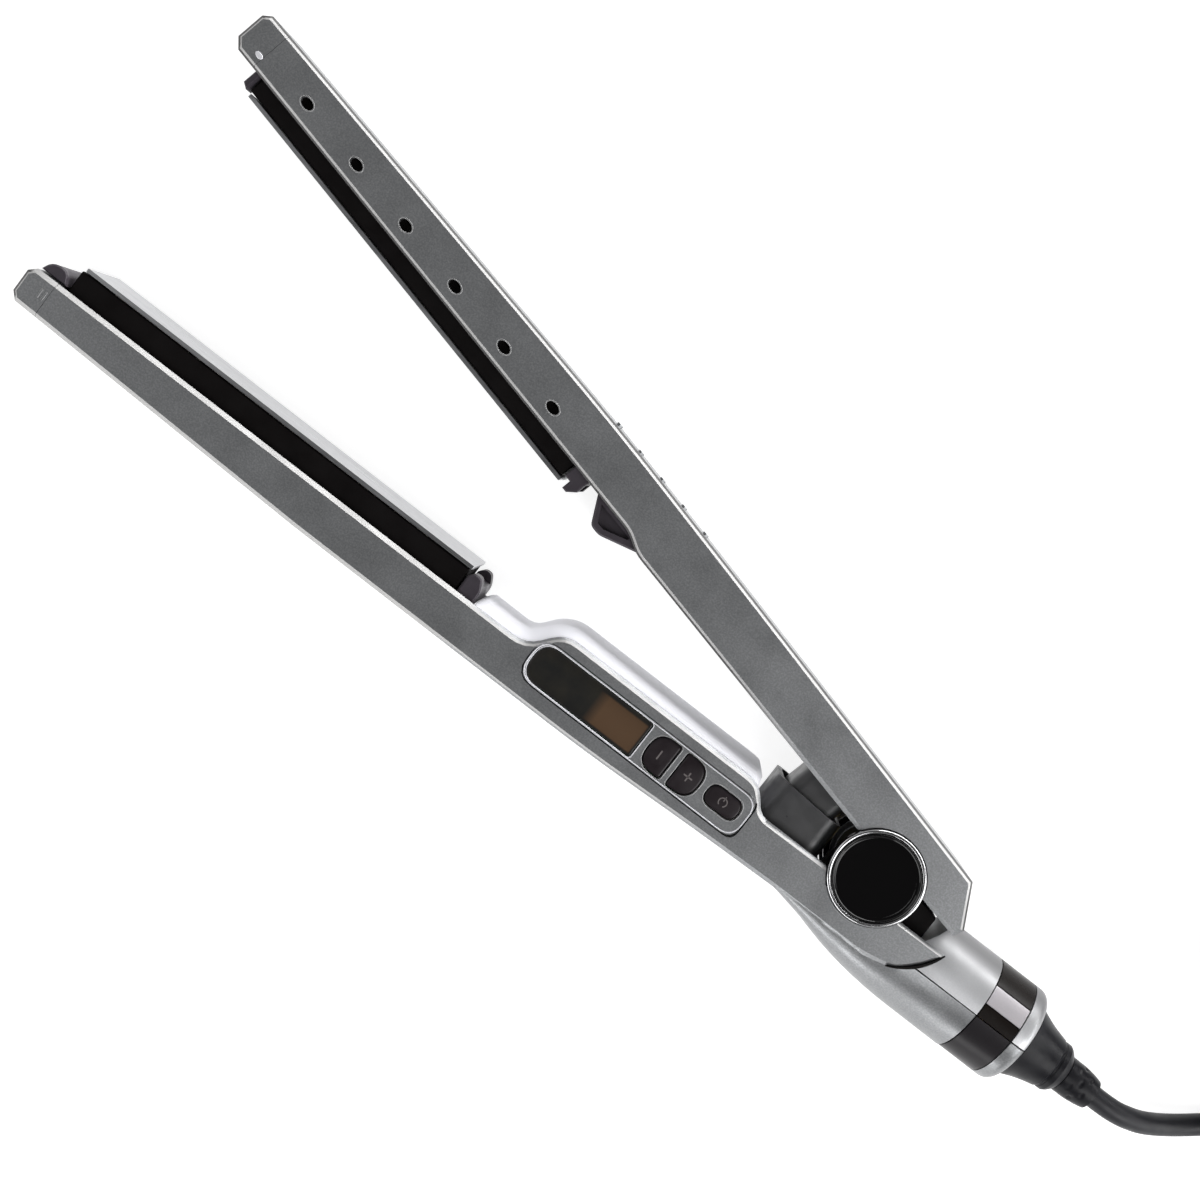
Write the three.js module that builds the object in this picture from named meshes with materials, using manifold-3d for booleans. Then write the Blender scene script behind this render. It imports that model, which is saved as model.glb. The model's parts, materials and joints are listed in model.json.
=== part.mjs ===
// A hair straightener (flat iron) lying open on its side: two hinged arms with heated plates,
// a control panel on the lower arm, a round tail and a swivelling mains lead.
// Millimetres. The hinge axis is Z through the origin, the lower arm runs along -X, the lead
// leaves along +X, the upper arm opens towards +Y, and the part rests on the plane z = 0.
import * as THREE from "three";
import { mergeVertices } from "three/addons/utils/BufferGeometryUtils.js";
import Module from "manifold-3d";

const wasm = await Module();
wasm.setup();

// ---- Driving dimensions ----

const weld = 0.0007; // corners closer than this are one corner
const gap = 0.3; // clearance between neighbouring pieces
const seamGap = 0.1; // between a casing and its tip cap
const armDepth = 32; // across the side faces, along the hinge axis
const midDepth = armDepth / 2;
const wall = 1.6; // side walls of the casings
const edgeBevel = 1.1; // chamfer round each side face
const openAngle = 13.4; // degrees between the plates at rest

const plateLength = 120;
const plateWidth = 24.5;
const plateThickness = 1;
const plateFront = -243.9; // front end of both plates
const plateRear = plateFront + plateLength;
const carrierWidth = 24.2;
const carrierDepth = 10;
const carrierWall = 1.6;

const lowerSeam = -246.4; // between the lower casing and its tip cap
const upperSeam = -247.2;

const capRadius = 11;
const capRingRadius = 12.1;
const capRecess = capRingRadius + gap;
const capProud = 1.1; // the near cap stands this far out of the side face
const recessFloor = 1.8; // depth of the round recess for a cap
const pinRadius = 3;
const lowerEar = { radius: 9.5, low: 1.8, high: 3.3 }; // depth from each side face
const upperEar = { radius: 8.5, low: 4.2, high: 5.8 };

const tailAxisY = -12;
const tailRadius = 13.4;
const tailWall = 1.8;
const tailEnd = 40.6;
const bandStart = 40.9;
const bandEnd = 51.2;
const collarStart = 51.5;
const collarEnd = 56;
const glandEnd = 70.1;
const bootStart = 70.4;
const bootEnd = 79.4;

const panelFace = 31.6; // level of the control bezel, just under the side face
const buttonFace = 31.5;
const buttonClearance = 0.25;

const cordDiameter = 5.8;
const cordRadius = cordDiameter / 2;
const coilCentre = new THREE.Vector2(124.3, 58.3);
const coilInner = 28.2 - cordRadius; // inside of the innermost turn
const coilOuter = 39.8 + cordRadius;
const coilBottom = 1.1; // the coil lies on its tie
const coilTop = coilBottom + 4 * cordDiameter;
const plugAngle = 115.7; // where the plug lies on the coil, in degrees round the coil's centre
const tieAngle = -95;

// ---- Solids ----

// A closed three.js geometry as a solid with its faces turned outwards.
function solid(geometry) {
  const bare = geometry.clone();
  bare.deleteAttribute("normal");
  bare.deleteAttribute("uv");
  const merged = mergeVertices(bare, weld);
  const index = merged.index.array;
  const faces = [];
  for (let i = 0; i < index.length; i += 3) {
    const [a, b, c] = index.slice(i, i + 3);
    if (a !== b && b !== c && c !== a) faces.push(a, b, c);
  }
  const build = (triVerts) =>
    new wasm.Manifold(
      new wasm.Mesh({ numProp: 3, vertProperties: merged.attributes.position.array, triVerts }),
    );
  const made = build(new Uint32Array(faces));
  return made.volume() > 0 ? made : build(new Uint32Array(faces.reverse()));
}

// A solid's surface as a three.js geometry.
function surface(made) {
  const mesh = made.getMesh();
  const geometry = new THREE.BufferGeometry();
  geometry.setAttribute("position", new THREE.BufferAttribute(mesh.vertProperties, 3));
  geometry.setIndex(new THREE.BufferAttribute(mesh.triVerts, 1));
  geometry.computeVertexNormals();
  return geometry;
}

// A closed outline through corner points. A corner's third number rounds it from that far back.
function outline(corners) {
  const shape = new THREE.Shape();
  const at = (i) => new THREE.Vector2(...corners[(i + corners.length) % corners.length]);
  corners.forEach(([x, y, back = 0], i) => {
    const corner = new THREE.Vector2(x, y);
    const before = at(i - 1).sub(corner).setLength(back).add(corner);
    const after = at(i + 1).sub(corner).setLength(back).add(corner);
    if (i === 0) shape.moveTo(before.x, before.y);
    else shape.lineTo(before.x, before.y);
    if (back > 0) shape.quadraticCurveTo(x, y, after.x, after.y);
  });
  return shape;
}

// A disc-shaped or oval outline.
function oval(x, y, radiusX, radiusY = radiusX) {
  return new THREE.Shape().absellipse(x, y, radiusX, radiusY, 0, 2 * Math.PI);
}

function extruded(shape, length, bevel, curveSegments) {
  return new THREE.ExtrudeGeometry(shape, {
    depth: length - 2 * bevel,
    bevelEnabled: bevel > 0,
    bevelThickness: bevel,
    bevelSize: bevel,
    bevelOffset: -bevel,
    bevelSegments: 1,
    curveSegments,
  }).translate(0, 0, bevel);
}

// An XY outline given thickness from z = low to z = high.
function slab(shape, low, high, bevel = 0, curveSegments = 4) {
  return solid(extruded(shape, high - low, bevel, curveSegments).translate(0, 0, low));
}

// A YZ outline run along X.
function rail(shape, start, end, bevel = 0, curveSegments = 4) {
  const geometry = extruded(shape, end - start, bevel, curveSegments);
  const [x, y, z] = [new THREE.Vector3(1, 0, 0), new THREE.Vector3(0, 1, 0), new THREE.Vector3(0, 0, 1)];
  geometry.applyMatrix4(new THREE.Matrix4().makeBasis(y, z, x));
  return solid(geometry.translate(start, 0, 0));
}

function block(x, y, z) {
  const geometry = new THREE.BoxGeometry(x[1] - x[0], y[1] - y[0], z[1] - z[0]);
  geometry.translate((x[0] + x[1]) / 2, (y[0] + y[1]) / 2, (z[0] + z[1]) / 2);
  return solid(geometry);
}

function lathe(profile, segments) {
  const points = profile.map(([radius, height]) => new THREE.Vector2(radius, height));
  return new THREE.LatheGeometry(points, segments);
}

// A [radius, height] profile turned round the hinge axis.
function turnedOnHinge(profile, segments = 40) {
  return solid(lathe(profile, segments).rotateX(Math.PI / 2));
}

// A [radius, x] profile turned round the tail's axis.
function turnedOnTail(profile, segments = 40) {
  return solid(lathe(profile, segments).rotateZ(-Math.PI / 2).translate(0, tailAxisY, midDepth));
}

// A closed profile of a tube between two radii.
function tubeProfile(inner, outer, low, high) {
  return [[inner, low], [outer, low], [outer, high], [inner, high], [inner, low]];
}

// A solid through rings of points with equal counts, closed flat at both ends.
function loft(rings) {
  const count = rings[0].length;
  const last = (rings.length - 1) * count;
  const faces = [];
  for (let ring = 0; ring < last; ring += count) {
    for (let i = 0; i < count; i++) {
      const j = (i + 1) % count;
      faces.push(ring + i, ring + j, ring + count + j, ring + i, ring + count + j, ring + count + i);
    }
  }
  for (let i = 1; i < count - 1; i++) {
    faces.push(0, i + 1, i, last, last + i, last + i + 1);
  }
  const geometry = new THREE.BufferGeometry().setFromPoints(rings.flat());
  geometry.setIndex(faces);
  return solid(geometry);
}

// The same solid at both side faces: depths are counted in from each face.
function onBothSides(make, low, high) {
  return make(low, high).add(make(armDepth - high, armDepth - low));
}

// ---- Finishes ----

function finish(color, roughness, metalness) {
  return () => new THREE.MeshStandardMaterial({ color, roughness, metalness });
}

const greyMetallic = finish(0x8f9296, 0.38, 0.75);
const lightSilver = finish(0xd4d6da, 0.3, 0.7);
const plateSilver = finish(0xd9dbdf, 0.22, 0.9);
const blackHeatproof = finish(0x17161a, 0.55, 0);
const clipGrey = finish(0x5d5860, 0.5, 0);
const housingGrey = finish(0x6a6b70, 0.45, 0.3);
const glossBlack = finish(0x0b0a0b, 0.12, 0);
const chrome = finish(0xe6e8ea, 0.08, 1);
const buttonBlack = finish(0x2b2427, 0.35, 0);
const displayDark = finish(0x33312c, 0.1, 0);
const softBlack = finish(0x25262a, 0.7, 0);
const bandBlack = finish(0x1c1a18, 0.2, 0);
const bandGrey = finish(0x48464a, 0.3, 0.2);
const steel = finish(0xb9bcc0, 0.3, 1);
const brass = finish(0xb79a55, 0.35, 1);
const ceramic = finish(0xe8e4da, 0.8, 0);
const boardGreen = finish(0x2d5a3c, 0.6, 0);
const silicone = finish(0xb8b4ae, 0.8, 0);

function piece(parent, name, material, made) {
  const mesh = new THREE.Mesh(surface(made), material());
  mesh.name = name;
  parent.add(mesh);
}

// ---- Lower arm ----

const lowerOutline = outline([
  [-252.8, -7.6], [-254.7, -9.4], [-254.7, -15.5], [-252.9, -17.4],
  [-165, -19.4], [-75, -19.4, 12], [-42, -18, 8], [-17, -17.3], [9, -17.3, 4],
  [17.2, -15.2, 2], [22, -10.4, 3], [25.4, -5],
  [-31.3, -5.3, 2], [-36.4, 0.7, 3], [-96, 0.7, 4], [-102.3, -7.4, 4],
]);

const lowerPocket = outline([
  [-260, -15.7], [-165, -17.5], [-75, -17.5], [-42, -16.2], [-17, -15.5], [-9, -15.5],
  [-9, -30], [60, -30], [60, 20], [-260, 20],
]);

// The tail's lower half grows out of the flat-sided arm and turns into half a cylinder.
// Each station gives x, then half width, depth under the tail axis and squareness.
const flareX = [-26, -20, -9, 0, 10, 20, 30, 60];
const flareValues = [
  15.9, 5.3, 9,
  15.9, 5.3, 9,
  15.9, 7.6, 5,
  15.9, 10.2, 3.4,
  15.5, 12.2, 2.7,
  14.6, 13.2, 2.2,
  tailRadius, tailRadius, 2,
  tailRadius, tailRadius, 2,
];
const flareSpline = new THREE.CubicInterpolant(flareX, flareValues, 3);

function flareRing(x, inset, top) {
  const [width, depth, power] = flareSpline.evaluate(x);
  const ring = [];
  for (let i = 0; i <= 20; i++) {
    const angle = Math.PI * (1 + i / 20);
    const side = Math.sign(Math.cos(angle)) * Math.abs(Math.cos(angle)) ** (2 / power);
    const down = Math.abs(Math.sin(angle)) ** (2 / power);
    const y = i === 0 || i === 20 ? top : tailAxisY - gap / 2 - down * (depth - inset);
    ring.push(new THREE.Vector3(x, y, midDepth + side * (width - inset)));
  }
  return ring;
}

function flare(start, end, inset, top) {
  const rings = [];
  for (let x = start; x < end - 1; x += (end - start) / 15) rings.push(flareRing(x, inset, top));
  rings.push(flareRing(end, inset, top));
  return loft(rings);
}

function tailLowerShell() {
  const outside = flare(-20, tailEnd, 0, tailAxisY - gap / 2);
  return outside.subtract(flare(-25, tailEnd + 5, tailWall, tailAxisY + 1));
}

// Round hinge ears on thin legs that reach to an arm's outer wall.
function ears(size, legEnd) {
  const leg = outline([[-8, 0], [8, 0], [8, legEnd], [-8, legEnd]]);
  return onBothSides((low, high) => slab(oval(0, 0, size.radius), low, high, 0, 16)
    .add(slab(leg, low, high)), size.low, size.high);
}

function pinHole() {
  return slab(oval(0, 0, pinRadius + gap), -1, armDepth + 1, 0, 12);
}

function capRecesses() {
  return onBothSides((low, high) => slab(oval(0, 0, capRecess), low, high, 0, 20), -1, recessFloor);
}

// Joins the lower ears' legs to the side walls below the recess.
function earFeet() {
  const foot = outline([[-8, -12.9], [8, -12.9], [8, -16.5], [-8, -16.5]]);
  return onBothSides((low, high) => slab(foot, low, high), wall - gap, lowerEar.low + gap);
}

// The outline of the control panel, grown or shrunk by a margin.
function panelOutline(margin) {
  const [left, right, top, bottom] = [-99.9 - margin, -33.5 + margin, -3 + margin, -14.5 - margin];
  return outline([[left, bottom, 5], [right, bottom, 3], [right, top, 3], [left, top, 5]]);
}

function lowerCasing() {
  const arm = slab(lowerOutline, 0, armDepth, edgeBevel)
    .subtract(slab(lowerPocket, wall, armDepth - wall))
    .subtract(block([-300, lowerSeam], [-40, 40], [-1, armDepth + 1]));
  return arm
    .add(tailLowerShell())
    .add(earFeet())
    .subtract(capRecesses())
    .add(ears(lowerEar, -16.5))
    .subtract(pinHole())
    .subtract(slab(panelOutline(gap), armDepth - 4, armDepth + 1));
}

// The hollow end of an arm beyond its seam.
function tipCap(armOutline, seam, hollow) {
  return slab(armOutline, 0, armDepth, edgeBevel)
    .intersect(block([-300, seam - seamGap], [-40, 40], [-1, armDepth + 1]))
    .subtract(block([-252.2, -240], hollow, [2, armDepth - 2]));
}

// The cover over the electronics follows the casing's inner edge.
function lowerInnerCover() {
  const thickness = 1.8;
  const top = [[-118.4, -7.6], [-102.6, -7.6, 4], [-96.3, 0.5, 4], [-37, 0.5, 2], [-33.6, -3.4]];
  const bottom = top.map(([x, y, back]) => [x + (y < -5 ? 0.8 : 0.3), y - thickness, back]);
  bottom[0][0] = top[0][0];
  bottom[4][0] = top[4][0];
  return slab(outline([...top, ...bottom.reverse()]), wall + gap, armDepth - wall - gap);
}

// Closes the lower arm between the hinge and the tail, inside the upper arm's hollow end.
function lowerRearCover() {
  return slab(outline([[7, -7.4], [19.2, -7.4], [19.2, 0.6, 1], [7, 2.6, 1]]), 6.6, armDepth - 6.6);
}

// A channel that holds the heater behind a plate; side is -1 below the parting plane, +1 above it.
function plateCarrier(side) {
  const [top, bottom] = [1.6 * side, (1.6 + carrierDepth) * side];
  const half = carrierWidth / 2;
  const [front, rear] = [plateFront - 0.8, plateRear - 0.5];
  const height = [top, bottom].sort((a, b) => a - b);
  const outside = block([front, rear], height, [midDepth - half, midDepth + half]);
  const floor = bottom - carrierWall * side;
  const inside = block(
    [front + carrierWall, rear - carrierWall],
    [floor, 0].sort((a, b) => a - b),
    [midDepth - half + carrierWall, midDepth + half - carrierWall],
  );
  return outside.subtract(inside);
}

function plate(side) {
  const [near, far] = [0.3 * side, (0.3 + plateThickness) * side].sort((a, b) => a - b);
  const section = outline([
    [near, midDepth - plateWidth / 2], [far, midDepth - plateWidth / 2],
    [far, midDepth + plateWidth / 2], [near, midDepth + plateWidth / 2],
  ]);
  return rail(section, plateFront, plateRear, 0.2);
}

function heater(side) {
  const [near, far] = [1.7 * side, 4.4 * side].sort((a, b) => a - b);
  return block([plateFront + 8, plateRear - 14], [near, far], [midDepth - 8, midDepth + 8]);
}

// A small round body lying along X inside a carrier.
function capsule(start, length, radius, y, z) {
  const geometry = new THREE.CapsuleGeometry(radius, length - 2 * radius, 3, 12);
  return solid(geometry.rotateZ(Math.PI / 2).translate(start + length / 2, y, z));
}

// A low rounded hump between the tip and the front end of the lower plate.
function lowerFrontClip() {
  const hump = outline([[-252.8, -7.2], [-251.6, -4.4, 2], [-247, -3.6, 2], [-245.3, -7.2]]);
  return slab(hump, 2.6, armDepth - 2.6, 0.4);
}

// Two rounded lugs joined by a low bar hold the rear end of the lower plate.
function lowerRearClip() {
  const lug = outline([
    [-123.9, -9.2], [-123.9, -3], [-122.6, -1.4, 0.8], [-120.6, -1.4, 1], [-118.9, -4.4, 1.2], [-118.9, -9.2],
  ]);
  return slab(lug, 3, armDepth - 3, 0.4)
    .subtract(block([-130, -110], [-3.6, 5], [8, armDepth - 8]));
}

// ---- Controls ----

const displayOutline = (margin) => {
  const [left, right, top, bottom] = [-99 - margin, -65.6 + margin, -3.7 + margin, -13.8 - margin];
  return outline([[left, bottom, 4.6], [right, bottom, 0.8], [right, top, 0.8], [left, top, 4.6]]);
};

// A button with one straight side; the other side is round.
const roundedButton = (straight, round) => (margin) => {
  const outwards = Math.sign(round - straight);
  const [flat, far] = [straight - margin * outwards, round + margin * outwards];
  const [top, bottom] = [-3.9 + margin, -13.6 - margin];
  return outline([[flat, bottom, 0.8], [far, bottom, 4.4], [far, top, 4.4], [flat, top, 0.8]]);
};

const powerOutline = (margin) => {
  const [left, right, top, bottom] = [-45.5 - margin, -35.9 + margin, -5.6 + margin, -11.3 - margin];
  const back = 2.7 + margin;
  return outline([[left, bottom, back], [right, bottom, back], [right, top, back], [left, top, back]]);
};

const buttonOutlines = {
  minus_button: roundedButton(-56.6, -63.4),
  plus_button: roundedButton(-54.6, -47.8),
  power_button: powerOutline,
};

function controlBezel() {
  let bezel = slab(panelOutline(0), armDepth - wall, panelFace, 0.25);
  for (const hole of [displayOutline, ...Object.values(buttonOutlines)]) {
    bezel = bezel.subtract(slab(hole(buttonClearance), 28, 34));
  }
  return bezel;
}

function button(shape) {
  return slab(shape(0), 28.2, buttonFace, 0.3).add(slab(shape(0.6), 28.2, 29.5));
}

// ---- Hinge ----

const springSeat = new THREE.Vector3(-22.3, -13.3, midDepth);
const springHead = new THREE.Vector3(-20.6, 10.6, midDepth);

// A wire wound round the line from the seat to the head.
class SpringCurve extends THREE.Curve {
  getPoint(t, target = new THREE.Vector3()) {
    const [turns, radius] = [7, 2.75];
    const angle = 2 * Math.PI * turns * t;
    target.lerpVectors(springSeat, springHead, 0.02 + 0.96 * t);
    return target.add(new THREE.Vector3(radius * Math.cos(angle), 0, radius * Math.sin(angle)));
  }
}

function tubeAlong(curve, radius, sides, steps) {
  const section = new THREE.Shape();
  for (let i = 0; i < sides; i++) {
    const angle = (2 * Math.PI * i) / sides;
    const [x, y] = [radius * Math.cos(angle), radius * Math.sin(angle)];
    if (i === 0) section.moveTo(x, y);
    else section.lineTo(x, y);
  }
  return solid(new THREE.ExtrudeGeometry(section, { steps, extrudePath: curve }));
}

// The open box on the lower arm that the upper arm's spring guide slides into.
function lowerHingeHousing() {
  const box = outline([[-33.2, -15.2], [-12.9, -15.2], [-12.9, 3.6], [-33.2, 4.9]]);
  const footprint = rounded([-33.2, -12.9], [5.5, 26.5], 4.6);
  const hollow = rounded([-31.6, -14.3], [7.1, 24.9], 3);
  return slab(box, 5, 27).intersect(upright(footprint, -20, 10)).subtract(upright(hollow, -13.6, 10));
}

function rounded(x, y, back) {
  return outline([[x[0], y[0], back], [x[1], y[0], back], [x[1], y[1], back], [x[0], y[1], back]]);
}

// An XZ outline run along Y.
function upright(shape, low, high) {
  const geometry = extruded(shape, high - low, 0, 4);
  return solid(geometry.rotateX(Math.PI / 2).translate(0, high, 0));
}

function upperHingeBlock() {
  const footprint = rounded([-30, -15.6], [8, 24], 3.4);
  const springWell = upright(oval(-22.4, midDepth, 5.7), -20, 6);
  return upright(footprint, -8, 15.2).subtract(springWell);
}

function capDisc(low, high, hollow) {
  const edge = 0.3;
  const profile = hollow
    ? [[0, low + 1.2], [5.6, low + 1.2], [5.6, low], [capRadius, low], [capRadius, high - edge],
      [capRadius - edge, high], [0, high + 0.25]]
    : [[0, low], [capRadius, low], [capRadius, high], [0, high]];
  return turnedOnHinge(profile, 48);
}

function capRing(low, high) {
  const [inner, edge] = [capRadius + 0.2, 0.3];
  return turnedOnHinge([
    [inner, low], [capRingRadius, low], [capRingRadius, high - edge], [capRingRadius - edge, high],
    [inner + edge, high], [inner, high - edge], [inner, low],
  ], 48);
}

// ---- Tail and cord outlet ----

const half = {
  upper: block([-60, 80], [tailAxisY + gap / 2, 40], [-10, 50]),
  lower: block([-60, 80], [-60, tailAxisY - gap / 2], [-10, 50]),
};

function tailTopCover() {
  const outside = outline([[19.5, -11.85], [19.5, -6], [25.3, 1.6], [tailEnd, 1.6], [tailEnd, -11.85]]);
  const inside = outline([[21.3, -13], [21.3, -6.6], [26.6, 0.4], [50, 0.4], [50, -13]]);
  const radius = tailRadius - tailWall;
  const cylinder = (size) => turnedOnTail([[0, 0], [size, 0], [size, 60], [0, 60]]);
  return slab(outside, 0, armDepth).intersect(cylinder(tailRadius))
    .subtract(slab(inside, 0, armDepth).intersect(cylinder(radius)));
}

// A wedge of the tail between two heights of arc, in degrees above the parting plane.
function tailWedge(from, to) {
  const reach = 30;
  const spoke = (angle) => [
    tailAxisY + reach * Math.sin(THREE.MathUtils.degToRad(angle)),
    midDepth + reach * Math.cos(THREE.MathUtils.degToRad(angle)),
  ];
  return rail(outline([[tailAxisY, midDepth], spoke(from), spoke(to)]), bandStart - 1, bandEnd + 1);
}

function bandUpper() {
  const recess = turnedOnTail(tubeProfile(tailRadius - 1, tailRadius + 2, bandStart - 1, bandEnd + 1));
  return turnedOnTail(tubeProfile(11.4, tailRadius, bandStart, bandEnd))
    .intersect(half.upper)
    .subtract(recess.intersect(tailWedge(15.5, 41)));
}

function bandLower() {
  return turnedOnTail(tubeProfile(11.4, tailRadius, bandStart, bandEnd)).intersect(half.lower);
}

function bandInlay() {
  return turnedOnTail(tubeProfile(tailRadius - 0.75, tailRadius, bandStart, bandEnd))
    .intersect(tailWedge(16.8, 39.7));
}

function endCollar(side) {
  return turnedOnTail([
    [9.5, collarStart], [tailRadius, collarStart], [tailRadius, 53.4], [10.9, collarEnd],
    [9.5, collarEnd], [9.5, collarStart],
  ]).intersect(side);
}

function cordGland() {
  return turnedOnTail([
    [3.5, 52], [9.1, 52], [9.1, collarEnd + gap], [10.3, collarEnd + gap], [7.1, 66], [7, 67.8],
    [4.9, glandEnd], [3.5, glandEnd], [3.5, 52],
  ]);
}

// The strain relief that turns in the gland; grooves let its rear half flex.
function cordBoot() {
  const profile = [[0, 51.6], [3.2, 51.6], [3.2, bootStart], [5.1, bootStart]];
  for (let x = 73; x < 77; x += 1.3) profile.push([5.1, x], [4.5, x + 0.3], [4.5, x + 0.8], [5.0, x + 1.1]);
  profile.push([4.7, 77.6], [3.5, bootEnd], [0, bootEnd]);
  return turnedOnTail(profile, 18);
}

function swivelCore() {
  return turnedOnTail([
    [0, 43], [7.5, 43], [7.5, 44.5], [5.5, 45], [5.5, 49], [8, 49.5], [8, 51.3], [0, 51.3],
  ], 24);
}

// ---- Mains lead ----

// The lead droops from the boot to the table and runs into the coil's outermost turn.
const leadRoute = [
  [79.7, -12, 16], [83.7, -12, 15.8], [87.7, -11.8, 15.1], [91.6, -11.2, 13.7], [95.5, -10.3, 11.7],
  [99.3, -9, 9.2], [103, -7.4, 6.8], [106.5, -5.5, 4.9], [110.7, -2.6, 3.5], [115.4, 1, 2.95],
  [120.9, 5.3, 2.95], [125.7, 9, 3.1], [132, 13.9, 3.5], [140.2, 20.2, 3.85], [148.7, 26.8, 4],
].map((point) => new THREE.Vector3(...point));

// A [radius, z] profile turned round the coil's upright axis.
function turnedOnCoil(profile, segments = 40) {
  return solid(lathe(profile, segments).rotateX(Math.PI / 2).translate(coilCentre.x, coilCentre.y, 0));
}

function cordCoil() {
  const edge = 1.6;
  return turnedOnCoil([
    [coilInner + edge, coilBottom], [coilOuter - edge, coilBottom], [coilOuter, coilBottom + edge],
    [coilOuter, coilTop - edge], [coilOuter - edge, coilTop], [coilInner + edge, coilTop],
    [coilInner, coilTop - edge], [coilInner, coilBottom + edge], [coilInner + edge, coilBottom],
  ]);
}

function cordLead() {
  const keepOut = turnedOnCoil(tubeProfile(coilInner - 2, coilOuter + gap, -5, coilTop + gap));
  return tubeAlong(new THREE.CatmullRomCurve3(leadRoute), cordRadius, 10, 32).subtract(keepOut);
}

// Pieces on the coil are drawn with x along its winding and y inwards, then turned into place.
function onCoil(made, angle) {
  const turn = new THREE.Matrix4().makeRotationZ(THREE.MathUtils.degToRad(angle + 90));
  turn.setPosition(coilCentre.x, coilCentre.y, 0);
  return solid(surface(made).applyMatrix4(turn));
}

function coilTie() {
  const [inner, outer, top] = [0.7 - coilInner, -0.35 - coilOuter, coilTop + 0.3];
  const thickness = 0.8;
  const loop = outline([
    [outer - thickness, 0, 1.5], [inner + thickness, 0, 1.5],
    [inner + thickness, top + thickness, 1.5], [outer - thickness, top + thickness, 1.5],
  ]);
  const inside = outline([[outer, thickness, 1], [inner, thickness, 1], [inner, top, 1], [outer, top, 1]]);
  return rail(loop, -4, 4).subtract(rail(inside, -5, 5));
}

// The plug lies flat across the coil, its blades pointing along the winding.
const plugAxis = { y: -19, z: coilTop + gap + 8.5 };
const plugFace = 24;

function plugBody() {
  const section = (x, wide, high) => {
    const ring = [];
    for (let i = 0; i < 24; i++) {
      const angle = (2 * Math.PI * i) / 24;
      const [side, rise] = [Math.cos(angle), Math.sin(angle)].map((v) => Math.sign(v) * Math.abs(v) ** 0.55);
      ring.push(new THREE.Vector3(x, plugAxis.y + side * wide, plugAxis.z + rise * high));
    }
    return ring;
  };
  return loft([
    section(plugFace, 12, 8.2), section(plugFace - 1.2, 12.5, 8.5), section(5, 12.5, 8.5),
    section(1, 9.5, 7.6), section(-2, 5.4, 5.4), section(-15, 3.8, 3.8),
  ]);
}

function plugBlade(side) {
  const y = plugAxis.y + side * 6.35;
  return block([plugFace + gap, plugFace + 17], [y - 0.8, y + 0.8], [plugAxis.z - 3.2, plugAxis.z + 3.2]);
}

// ---- Upper arm, drawn closed over the lower arm ----

const upperOutline = outline([
  [-253, 5.7], [-255.5, 7.8], [-255.5, 15.4], [-253.6, 17.3],
  [-125, 20.1, 20], [-73, 19.3, 10], [15.4, 17.6], [23.6, 8.4], [22.8, 5.5],
  [4, 5.4], [4, 3.8], [-98, 3.9, 2], [-103.5, 5.9, 2],
]);

const upperPocket = outline([
  [-260, -5], [-260, 15.5], [-125, 18.2], [-73, 17.4], [14.6, 15.8], [20.6, 8.6], [20.6, -5],
]);

function ventHoles() {
  const pitch = 18.8;
  let holes = slab(oval(-232.2, 10.5, 2, 1.3), -1, armDepth + 1, 0, 5);
  for (let i = 1; i < 6; i++) {
    holes = holes.add(slab(oval(-232.2 + i * pitch, 10.5, 2, 1.3), -1, armDepth + 1, 0, 5));
  }
  return holes;
}

// Small raised dots along the outer face, near the near edge.
function gripDots() {
  let dots = upright(oval(-125, 25, 0.9), 18, 20.7);
  for (let i = 1; i < 5; i++) {
    dots = dots.add(upright(oval(-125 + 8.5 * i, 25, 0.9), 18, 20.6 - 0.1 * i));
  }
  return dots;
}

function upperCasing() {
  return slab(upperOutline, 0, armDepth, edgeBevel)
    .subtract(slab(upperPocket, wall, armDepth - wall))
    .subtract(block([-300, upperSeam], [-40, 40], [-1, armDepth + 1]))
    .subtract(capRecesses())
    .add(ears(upperEar, 16.8))
    .subtract(pinHole())
    .subtract(ventHoles())
    .add(gripDots());
}

function upperInnerCover() {
  return block([-97.6, -33.5], [4.1, 5.8], [wall + gap, armDepth - wall - gap]);
}

// The skid under the upper arm that meets the recess of the lower arm.
function guardNose() {
  const profile = outline([
    [-115.4, 6], [-110.4, -0.4, 1], [-107.4, -0.4, 1], [-98.1, 4.2], [-98.1, 7.4], [-115.4, 7.8],
  ]);
  const dimple = outline([[-112.8, 5], [-109.8, 1.4], [-107.8, 1.4], [-102, 4.4], [-102, 5]]);
  return slab(profile, 2.4, armDepth - 2.4, 0.5)
    .subtract(onBothSides((low, high) => slab(dimple, low, high), 0, 4.4));
}

function upperFrontClip() {
  const lug = outline([[-246.9, 9], [-246.9, 1.8], [-245.2, 1], [-245.2, 9]]);
  return slab(lug, 2.6, armDepth - 2.6, 0.3).subtract(block([-260, -240], [-5, 4.5], [8, armDepth - 8]));
}

// A hook that catches the rear end of the floating plate.
function upperRearClip() {
  const hook = outline([
    [-123.9, 9], [-123.9, 2.4], [-122, 2.4], [-122, 0], [-120.6, 0], [-118.8, 2], [-118.8, 9],
  ]);
  return slab(hook, 2.6, armDepth - 2.6, 0.3).subtract(block([-130, -110], [-5, 4.5], [8, armDepth - 8]));
}

// ---- Assembly ----

const iron = new THREE.Group();
const upperArm = new THREE.Group();
upperArm.rotation.z = THREE.MathUtils.degToRad(-openAngle);
iron.add(upperArm);

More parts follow.
